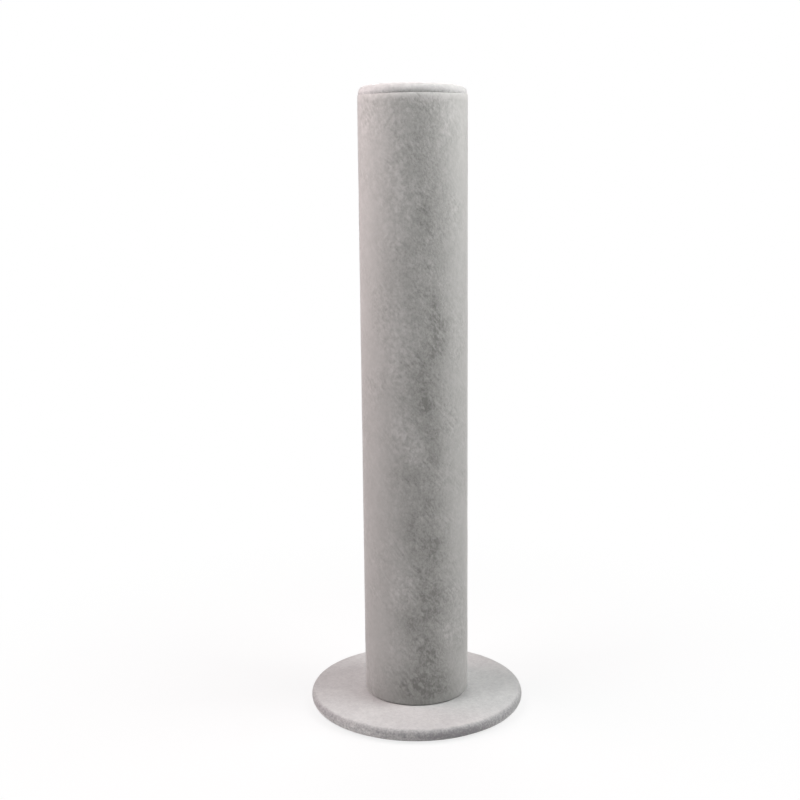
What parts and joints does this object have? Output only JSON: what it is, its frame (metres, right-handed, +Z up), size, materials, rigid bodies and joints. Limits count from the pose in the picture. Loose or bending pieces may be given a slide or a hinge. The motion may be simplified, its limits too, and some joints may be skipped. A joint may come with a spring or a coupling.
{
  "type": "bracelet display column",
  "caption": "Upright velvet-covered display column for bracelets and bangles, on a thin round covered base, closed by a padded cap disc.",
  "frame": {"origin": "centre of the underlay's lower face, on the surface that the object stands on", "axes": "+Z up along the column's axis; -Y towards the front, with the sleeve's butt seam at the back on +Y"},
  "size_m": [0.105, 0.105, 0.3],
  "materials": {
    "column_velvet": "short-pile velvet",
    "base_velvet": "short-pile velvet",
    "cap_velvet": "short-pile velvet",
    "underlay_felt": "felt",
    "base_board_mdf": "matte",
    "plug_wood": "matte",
    "tube_paper": "matte",
    "cap_greyboard": "matte",
    "cap_foam": "open-cell foam",
    "screw_steel": "zinc plated"
  },
  "bodies": {
    "root": {"base_underlay": "underlay_felt", "base_board": "base_board_mdf", "base_velvet": "base_velvet", "base_screw_1": "screw_steel", "base_screw_2": "screw_steel", "base_screw_3": "screw_steel", "bottom_plug": "plug_wood", "column_tube": "tube_paper", "column_velvet": "column_velvet", "top_plug": "plug_wood", "cap_board": "cap_greyboard", "cap_pad": "cap_foam", "cap_velvet": "cap_velvet"}
  },
  "joints": []
}
